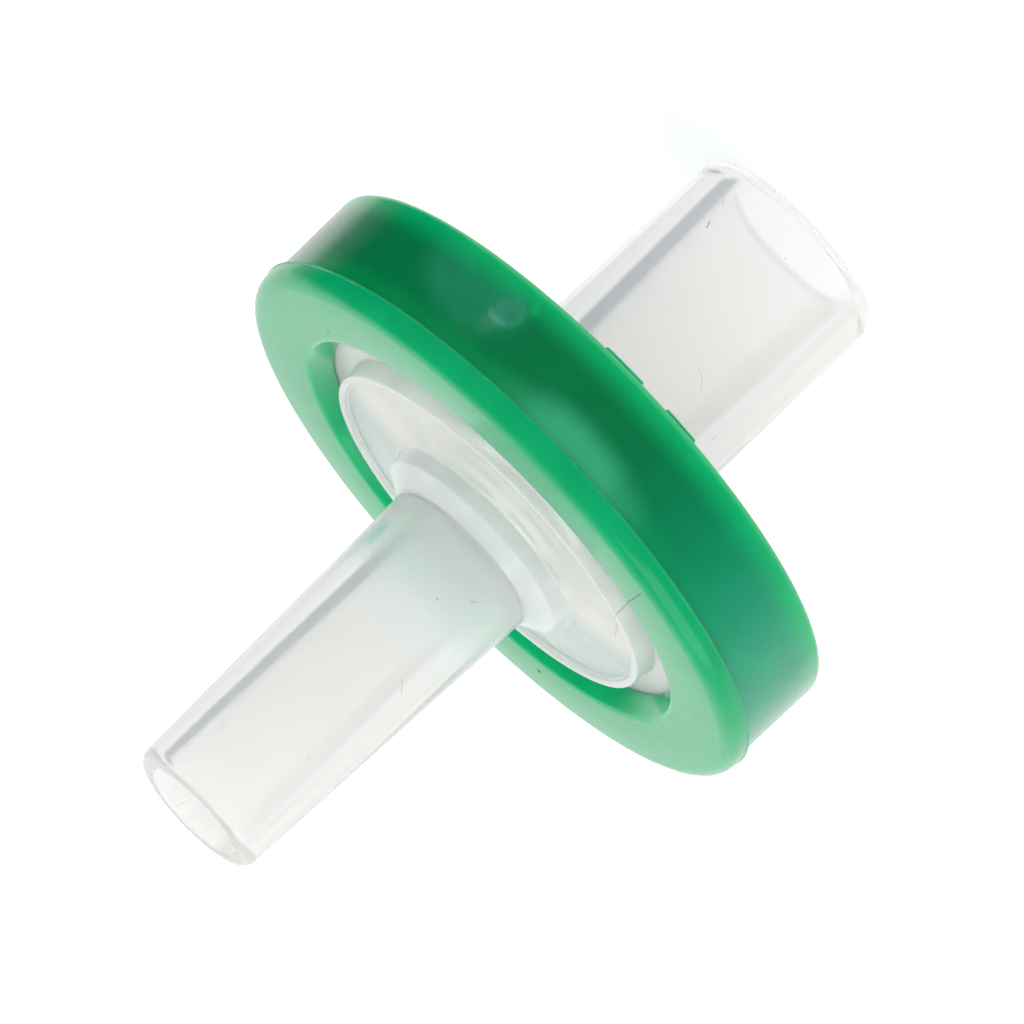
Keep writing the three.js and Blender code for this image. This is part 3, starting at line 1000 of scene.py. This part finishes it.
# Painted light towards the -X side and the back, and towards the parting line, over the painted
# shade of the wall's middle.
lit_side = maths(tree, "MAXIMUM", fade(tree, at["Angle"], 0.0, -62.0),
                fade(tree, at["Angle"], 115.0, 179.0))
to_front = fade(tree, at["Height"], 9.75, 10.60)
lit_rear = fade(tree, at["Height"], 8.85, RING_BACK)
wall_colour = blend(tree, to_front, SHADED_WALL_GREEN, LIT_FRONT_GREEN)
wall_colour = blend(tree, lit_side, wall_colour, LIT_SIDE_GREEN)
print("greens of the wall take", len(tree.nodes), "nodes so far")

# %% [markdown]
# Clouds lie on top of those greens: a light one high on the front, a deep blush low down
# beside it, the scar round the gate, and a short streak.

# %% Clouds on the wall, and the whole colour
TONE_SWING = 0.22          # how far the tone wanders, lighter and darker
high_cloud = patch_on(tree, at, 0.0, 10.45, 14.0, 0.75, 0.60)
wall_colour = laid(tree, wall_colour, high_cloud, 0.95, CLOUD_GREEN)
low_blush = patch_on(tree, at, 34.0, 8.75, 11.0, 1.15, 0.30)
wall_colour = laid(tree, wall_colour, low_blush, 0.80, BLUSH_GREEN)
# Painted light: the wall turns lighter towards its back edge.
wall_colour = blend(tree, lit_rear, wall_colour, LIT_REAR_AND_STREAK_GREEN)
gate_from_front = math.degrees(GATE_ANGLE) + 90
gate_blush = patch_on(tree, at, gate_from_front - 1.0, gate_height, 2.7, 0.44, 0.25)
wall_colour = laid(tree, wall_colour, gate_blush, 0.8, GATE_GREEN)
gate_streak = [(on_wall(22.0, 8.40, 8.73), on_wall(23.2, 7.90, 8.70), 0.16, 0.6)]
wall_colour = laid(tree, wall_colour, marks_on(tree, at["Place"], gate_streak), 1.0, LIT_REAR_AND_STREAK_GREEN)
# Painted light: the slope into the window is a lighter green.
lit_window = fade(tree, at["Radius"], WINDOW_RADIUS + 0.10, WINDOW_RADIUS + 0.04)
colour = blend(tree, lit_window, GREEN, WINDOW_LIT_GREEN)
colour = blend(tree, on_side, colour, wall_colour)
tone = maths(tree, "MULTIPLY_ADD", skin["Tone"], TONE_SWING, 1 - TONE_SWING / 2)
toned = node(tree, "VectorMath", colour, operation="SCALE")
tree.links.new(tone, toned.inputs["Scale"])
dirt = maths(tree, "MAXIMUM", marks_on(tree, at["Flat"], face_marks),
             marks_on(tree, at["Place"], wall_marks))
colour = blend(tree, dirt, toned.outputs[0], DIRT)
tree.links.new(colour, shader.inputs["Base Color"])
print("colour of the ring takes", len(tree.nodes), "nodes")

# %% [markdown]
# The flat face is seen at a low angle, where its gloss hides the colour, so what shows there
# is bump: faint rings that the melt front left as it closed, and the orange peel.

# %% The surface of the ring
FLOW_SPACING = 0.28       # between the faint rings on the face
FLOW_DEPTH = 0.25         # beside the orange peel
FLOW_NOISE, FLOW_WANDER = 0.5, 0.8
GREEN_BUMP, GREEN_BUMP_DEPTH = 0.5, 0.010
GREEN_DEPTH = 1.0         # how far light wanders in the green, in millimetres
flow = node(tree, "TexNoise", None, None, FLOW_NOISE, 1.0)
tree.links.new(at["Place"], flow.inputs["Vector"])
wandering = maths(tree, "MULTIPLY_ADD", flow.outputs["Fac"], FLOW_WANDER, at["Radius"])
ripple = maths(tree, "SINE", maths(tree, "MULTIPLY", wandering, math.tau / FLOW_SPACING))
on_face = fade(tree, at["Height"], RING_FRONT - 0.05, RING_FRONT - 0.01)
flow_side = patch_on(tree, at, -137.0, RING_FRONT, 50.0, 1.0, 0.6)
flow_mask = maths(tree, "MULTIPLY", on_face, flow_side)
relief = maths(tree, "MULTIPLY_ADD", maths(tree, "MULTIPLY", ripple, flow_mask), FLOW_DEPTH,
               skin["Height"])
tree.links.new(bumped(tree, relief, GREEN_BUMP, GREEN_BUMP_DEPTH), shader.inputs["Normal"])
tree.links.new(maths(tree, "MAXIMUM", skin["Roughness"], dirt), shader.inputs["Roughness"])
shader.inputs["IOR"].default_value = GREEN_IOR
shader.inputs["Subsurface Weight"].default_value = 0.4
shader.inputs["Subsurface Radius"].default_value = (0.3, 1.0, 0.5)
shader.inputs["Subsurface Scale"].default_value = GREEN_DEPTH * MM
ring.data.materials.clear()
ring.data.materials.append(ring_finish)
print("ring finish has", len(tree.nodes), "nodes")

# %% [markdown]
# ### The membrane
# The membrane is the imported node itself: a plain disc is its true shape. Its film is matt and
# white, felted from fibres far too fine to see, so it only needs a soft mottle.

# %% The membrane
FILM, FILM_SHADE = (0.97, 0.97, 0.96), (0.93, 0.93, 0.915)
FELT_SCALE, FIBRE_SCALE, FILM_ROUGHNESS, FILM_SPREAD = 3.0, 25.0, 0.9, 0.1
FELT_BUMP, FELT_DEPTH = 0.6, 0.01
film_finish, tree, at = start_material("white_membrane_film")
shader = tree.nodes["Principled BSDF"]
felt = placed_group(tree, moulded, at["Place"], FELT_SCALE, FIBRE_SCALE, FILM_ROUGHNESS,
                    FILM_SPREAD)
tree.links.new(blend(tree, felt["Tone"], FILM, FILM_SHADE), shader.inputs["Base Color"])
tree.links.new(felt["Roughness"], shader.inputs["Roughness"])
tree.links.new(bumped(tree, felt["Height"], FELT_BUMP, FELT_DEPTH), shader.inputs["Normal"])
shader.inputs["Subsurface Weight"].default_value = 1.0
shader.inputs["Subsurface Scale"].default_value = MM
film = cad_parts["filter_membrane"]
film.data.materials.clear()
film.data.materials.append(film_finish)
print(film.name, "takes", film_finish.name)

# %% [markdown]
# ## Light
# Clear plastic shows nothing but its surroundings, so it is lit like glassware: inside a
# white tent. Where the tent is open, the plastic bends the dark in as thin lines, and the
# green wall shows its own colour instead of a white gloss. The tent is the world, and an
# opening is a soft round patch of it that emits less.

# %% The openings of the tent
SIDE_TURN, SIDE_FALL = 66, -0.25          # degrees from +Y towards +X, and its slope
SIDE_INNER, SIDE_OUTER = 20, 32
RIGHT_TURN, RIGHT_INNER, RIGHT_OUTER = 45, 75, 100     # degrees from -Y towards +X
LEFT_TURN, LEFT_RISE, LEFT_INNER, LEFT_OUTER = -20, 0.35, 40, 120
FOOT_FADE = (-0.80, -0.45)                # the slopes between which the front opening ends
tent = bpy.data.worlds.new("white_tent")
bpy.context.scene.world = tent
tent.use_nodes = True
tree = tent.node_tree
direction = node(tree, "TexCoord").outputs["Generated"]


def opening(towards, inner, outer):
    """A mask that is 1 near a direction and fades to 0 between two angles from it."""
    dot = node(tree, "VectorMath", direction, Vector(towards).normalized(),
               operation="DOT_PRODUCT").outputs["Value"]
    return fade(tree, dot, math.cos(math.radians(outer)), math.cos(math.radians(inner)))


def front_opening(turn, rise, inner, outer):
    """An opening in front of the object, turned from -Y towards +X."""
    turn = math.radians(turn)
    return opening((math.sin(turn), -math.cos(turn), rise), inner, outer)


side_turn = math.radians(SIDE_TURN)
side = opening((math.sin(side_turn), math.cos(side_turn), SIDE_FALL), SIDE_INNER, SIDE_OUTER)
other = opening((-math.sin(side_turn), math.cos(side_turn), SIDE_FALL), SIDE_INNER, SIDE_OUTER)
right_front = front_opening(RIGHT_TURN, 0, RIGHT_INNER, RIGHT_OUTER)
left_front = front_opening(LEFT_TURN, LEFT_RISE, LEFT_INNER, LEFT_OUTER)
front = maths(tree, "MAXIMUM", right_front, left_front)
rise = node(tree, "SeparateXYZ", direction).outputs["Z"]
front = maths(tree, "MULTIPLY", front, fade(tree, rise, *FOOT_FADE))
print("openings of the tent take", len(tree.nodes), "nodes")

# %% [markdown]
# Each opening is dark for some rays only. The front one would dull the plastic's own colour,
# so it is there for gloss and hardly for soft light. Light that comes through the plastic
# sees only the side openings, which draw the lines along its bores. The camera sees plain
# white.

# %% The light of the tent
TENT_LEVEL, BEHIND_LEVEL = 1.10, 1.00     # on the surfaces, and seen through them
SIDE_DARK = 0.70
OTHER_SIDE_DARK = 0.10                    # the weak opening across from it
FRONT_DARK_GLOSS, FRONT_DARK_SOFT = 0.99, 0.04
ROOM = (0.56, 0.75, 1.0)                  # what shows in the openings
ray = node(tree, "LightPath").outputs
through = ray["Is Transmission Ray"]
gloss = node(tree, "Math", ray["Is Glossy Ray"], through, operation="SUBTRACT",
             use_clamp=True).outputs[0]
front_dark = maths(tree, "MULTIPLY_ADD", gloss, FRONT_DARK_GLOSS - FRONT_DARK_SOFT, FRONT_DARK_SOFT)
front_dark = maths(tree, "MULTIPLY", front, front_dark)
front_dark = maths(tree, "MULTIPLY", front_dark, maths(tree, "SUBTRACT", 1.0, through))
side_dark = maths(tree, "MULTIPLY", side, SIDE_DARK)
side_dark = maths(tree, "MULTIPLY_ADD", other, OTHER_SIDE_DARK, side_dark)
dark = maths(tree, "MAXIMUM", side_dark, front_dark)
level = maths(tree, "MULTIPLY_ADD", through, BEHIND_LEVEL - TENT_LEVEL, TENT_LEVEL)
level = maths(tree, "MULTIPLY", maths(tree, "SUBTRACT", 1.0, dark), level)
unseen = maths(tree, "SUBTRACT", 1.0, ray["Is Camera Ray"])
strength = maths(tree, "MULTIPLY_ADD", level, unseen, ray["Is Camera Ray"])
background = tree.nodes["Background"]
room_share = maths(tree, "MULTIPLY", side_dark, unseen)
tree.links.new(blend(tree, room_share, (1, 1, 1), ROOM), background.inputs["Color"])
tree.links.new(strength, background.inputs["Strength"])
print(tent.name, "at level", TENT_LEVEL)

# %% [markdown]
# One large soft lamp on the -X side lights that side of the ring. It is weak, since the
# tent does most of the work. Light that bounces between clear walls needs many bounces, or
# the tube's edges turn black.

# %% The lamp and the bounces
LAMP_PLACE, LAMP_SIZE, LAMP_POWER = Vector((-0.28, -0.10, 0.16)), 0.30, 0.25
BOUNCES = 32
lamp = bpy.data.objects.new("soft_lamp", bpy.data.lights.new("soft_lamp", "AREA"))
bpy.context.collection.objects.link(lamp)
lamp.data.size = LAMP_SIZE
lamp.data.energy = LAMP_POWER
lamp.location = LAMP_PLACE
lamp.rotation_mode = "QUATERNION"
lamp.rotation_quaternion = (LAMP_PLACE - Vector((0, 0, 0.01))).to_track_quat("Z", "Y")
cycles = bpy.context.scene.cycles
cycles.max_bounces = cycles.transmission_bounces = cycles.glossy_bounces = BOUNCES
print(lamp.name, LAMP_POWER, "W,", BOUNCES, "bounces")

# %% [markdown]
# The floor is a white card. It would show through the clear plastic and in the gloss of the
# ring as a hard horizon, so those rays pass it and see the tent. The camera sees it as white,
# with only the shadow at the foot of the filter left.

# %% The floor
FLOOR_SIZE, FLOOR_TONE, FLOOR_GLOW = 3.0, 0.90, 0.38
BELOW = 0.00002           # how far under the foot, in metres
bpy.ops.mesh.primitive_plane_add(size=FLOOR_SIZE, location=(0, 0, -BELOW))
floor = bpy.context.object
floor.name = "floor"
floor.visible_diffuse = False
floor.visible_glossy = False
floor.visible_transmission = False
floor_finish = bpy.data.materials.new("white_card")
floor_finish.use_nodes = True
tree = floor_finish.node_tree
shader = tree.nodes["Principled BSDF"]
shader.inputs["Base Color"].default_value = (FLOOR_TONE, FLOOR_TONE, FLOOR_TONE, 1)
shader.inputs["Roughness"].default_value = 1.0
shader.inputs["Specular IOR Level"].default_value = 0
seen = node(tree, "LightPath").outputs["Is Camera Ray"]
shader.inputs["Emission Color"].default_value = (1, 1, 1, 1)
tree.links.new(maths(tree, "MULTIPLY", seen, FLOOR_GLOW), shader.inputs["Emission Strength"])
floor.data.materials.append(floor_finish)
print(floor.name, FLOOR_SIZE, "m wide, just below the socket's mouth")

# %% [markdown]
# ## Camera
# The camera looks at the axis just behind the ring's parting line, from a little above, and
# it is rolled, so the outlet points down and to the left. A long lens from half a metre
# keeps the sides of the tubes parallel.

# %% The camera
AIM = Vector((-0.00005, 0, 0.01042))
DISTANCE = 0.5
ELEVATION = math.radians(14.18)
ROLL = math.radians(-133.605)
SENSOR, IMAGE_WIDTH = 36, 1024
IMAGE_SCALE = 19258       # image points in a radian
camera = bpy.data.objects.new("camera", bpy.data.cameras.new("camera"))
bpy.context.collection.objects.link(camera)
back = Vector((0, -math.cos(ELEVATION), math.sin(ELEVATION)))
camera.location = AIM + back * DISTANCE
camera.rotation_mode = "QUATERNION"
level_view = (-back).to_track_quat("-Z", "Y")
camera.rotation_quaternion = level_view @ Quaternion((0, 0, 1), ROLL)
camera.data.sensor_width = SENSOR
camera.data.lens = IMAGE_SCALE * SENSOR / IMAGE_WIDTH
camera.data.clip_start = 0.01
bpy.context.scene.camera = camera
bpy.context.scene.view_settings.view_transform = "Standard"
print("lens %.0f mm, %.2f degrees above level" % (camera.data.lens, math.degrees(ELEVATION)))
